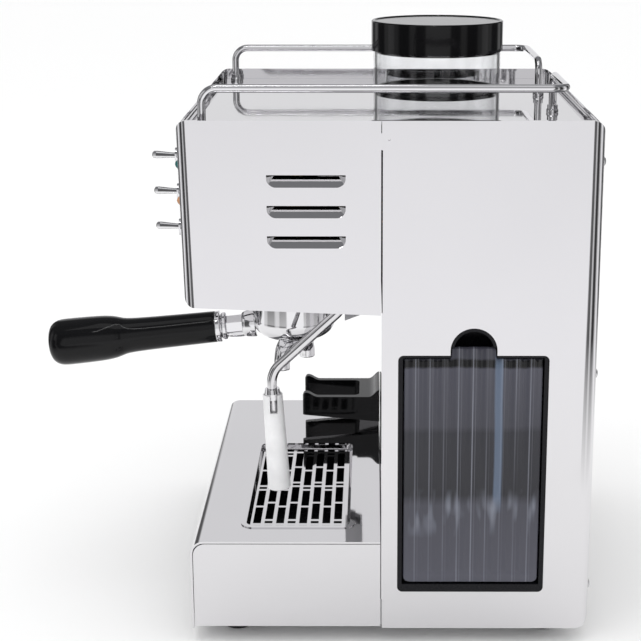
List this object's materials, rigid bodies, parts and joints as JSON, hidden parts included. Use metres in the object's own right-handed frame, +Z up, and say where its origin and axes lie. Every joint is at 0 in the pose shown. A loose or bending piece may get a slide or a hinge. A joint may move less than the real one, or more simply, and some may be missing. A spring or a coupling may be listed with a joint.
{
  "type": "espresso machine",
  "caption": "Polished steel espresso machine with a built-in grinder, side water tank, toggle switches, steam wand, portafilter, cup rails and a sliding drip drawer.",
  "frame": {"origin": "on the surface that the machine stands on, midway between its four feet", "axes": "+Z up, the front and the portafilter's handle face -Y, the user's right is +X"},
  "size_m": [0.32, 0.4241, 0.449],
  "materials": {
    "polished_steel": "polished sheet",
    "chrome": "mirror",
    "black_gloss": "gloss",
    "black_satin": "satin",
    "black_rubber": "matte",
    "white_sleeve": "satin",
    "clear_plastic": "clear",
    "smoke_plastic": "smoked, fluted",
    "brass": "machined",
    "copper": "drawn",
    "burr_steel": "ground",
    "zinc_steel": "plated",
    "grey_plastic": "moulded",
    "motor_enamel": "enamel",
    "circuit_board": "coated",
    "lamp_green": "translucent",
    "lamp_amber": "translucent",
    "silicone": "matte"
  },
  "bodies": {
    "machine": {"column_casing": "polished_steel", "front_casing": "polished_steel", "column_front_plate": "polished_steel", "housing_underside": "polished_steel", "top_plate": "polished_steel", "base_side_panel_right": "polished_steel", "base_side_panel_left": "polished_steel", "shower_screen": "polished_steel", "shower_screw": "polished_steel", "cup_rail_right": "chrome", "cup_rail_left": "chrome", "rail_ferrules": "chrome", "group_head": "chrome", "wand_nut": "chrome", "toggle_bushings": "chrome", "portafilter_fork": "black_gloss", "throat_funnel": "black_satin", "tank_bay": "black_satin", "mains_inlet": "black_satin", "switch_bodies": "black_satin", "grinder_housing": "black_satin", "tank_socket": "black_satin", "feet": "black_rubber", "group_gasket": "black_rubber", "bean_hopper": "clear_plastic", "boiler": "brass", "steam_valve": "brass", "copper_pipes": "copper", "heating_element": "copper", "upper_burr": "burr_steel", "base_pan": "zinc_steel", "foot_screws": "zinc_steel", "casing_screws": "zinc_steel", "boiler_bolts": "zinc_steel", "grinder_shelf": "zinc_steel", "pump": "zinc_steel", "grinder_chute": "grey_plastic", "grinder_motor": "motor_enamel", "control_board": "circuit_board", "lamp_upper": "lamp_green", "lamp_lower": "lamp_amber", "suction_hose": "silicone"},
    "drip_drawer": {"deck_cover": "polished_steel", "drip_tray": "black_satin"},
    "drip_grille": {"drip_grille": "polished_steel"},
    "portafilter": {"portafilter_cup": "chrome", "portafilter_basket": "polished_steel", "portafilter_stem": "chrome", "portafilter_handle": "black_gloss", "portafilter_spout": "chrome"},
    "steam_wand": {"wand_tube": "polished_steel", "wand_ferrule": "chrome", "wand_sleeve": "white_sleeve"},
    "hopper_lid": {"hopper_lid": "black_gloss"},
    "water_tank": {"water_tank": "smoke_plastic"},
    "grinder_rotor": {"lower_burr": "burr_steel", "burr_carrier": "burr_steel"},
    "toggle_power": {"toggle_lever_power": "chrome"},
    "toggle_brew": {"toggle_lever_brew": "chrome"},
    "toggle_steam": {"toggle_lever_steam": "chrome"}
  },
  "joints": [
    {"name": "drip_drawer_slide", "type": "slide", "parent": "machine", "child": "drip_drawer", "axis": [0, -1, 0], "range_m": [0, 0.12]},
    {"name": "drip_grille_lift", "type": "slide", "parent": "drip_drawer", "child": "drip_grille", "axis": [0, 0, 1], "range_m": [0, 0.018]},
    {"name": "portafilter_turn", "type": "hinge", "parent": "machine", "child": "portafilter", "pos_m": [0.048, -0.076, 0.22], "axis": [0, 0, 1], "range_deg": [-45, 10]},
    {"name": "steam_wand_swivel", "type": "hinge", "parent": "machine", "child": "steam_wand", "pos_m": [0.115, -0.038, 0.2555], "axis": [0, 0, 1], "range_deg": [-25, 90]},
    {"name": "hopper_lid_lift", "type": "slide", "parent": "machine", "child": "hopper_lid", "axis": [0, 0, 1], "range_m": [0, 0.04]},
    {"name": "water_tank_slide", "type": "slide", "parent": "machine", "child": "water_tank", "axis": [1, 0, 0], "range_m": [0, 0.15]},
    {"name": "grinder_spin", "type": "hinge", "parent": "machine", "child": "grinder_rotor", "pos_m": [-0.082, 0.041, 0.32], "axis": [0, 0, 1], "continuous": true},
    {"name": "toggle_power_flip", "type": "hinge", "parent": "machine", "child": "toggle_power", "pos_m": [0.131, -0.15035, 0.3695], "axis": [0, 0, 1], "range_deg": [0, 25]},
    {"name": "toggle_brew_flip", "type": "hinge", "parent": "machine", "child": "toggle_brew", "pos_m": [0.131, -0.14976, 0.3433], "axis": [0, 0, 1], "range_deg": [0, 25]},
    {"name": "toggle_steam_flip", "type": "hinge", "parent": "machine", "child": "toggle_steam", "pos_m": [0.131, -0.14919, 0.3172], "axis": [0, 0, 1], "range_deg": [0, 25]}
  ]
}
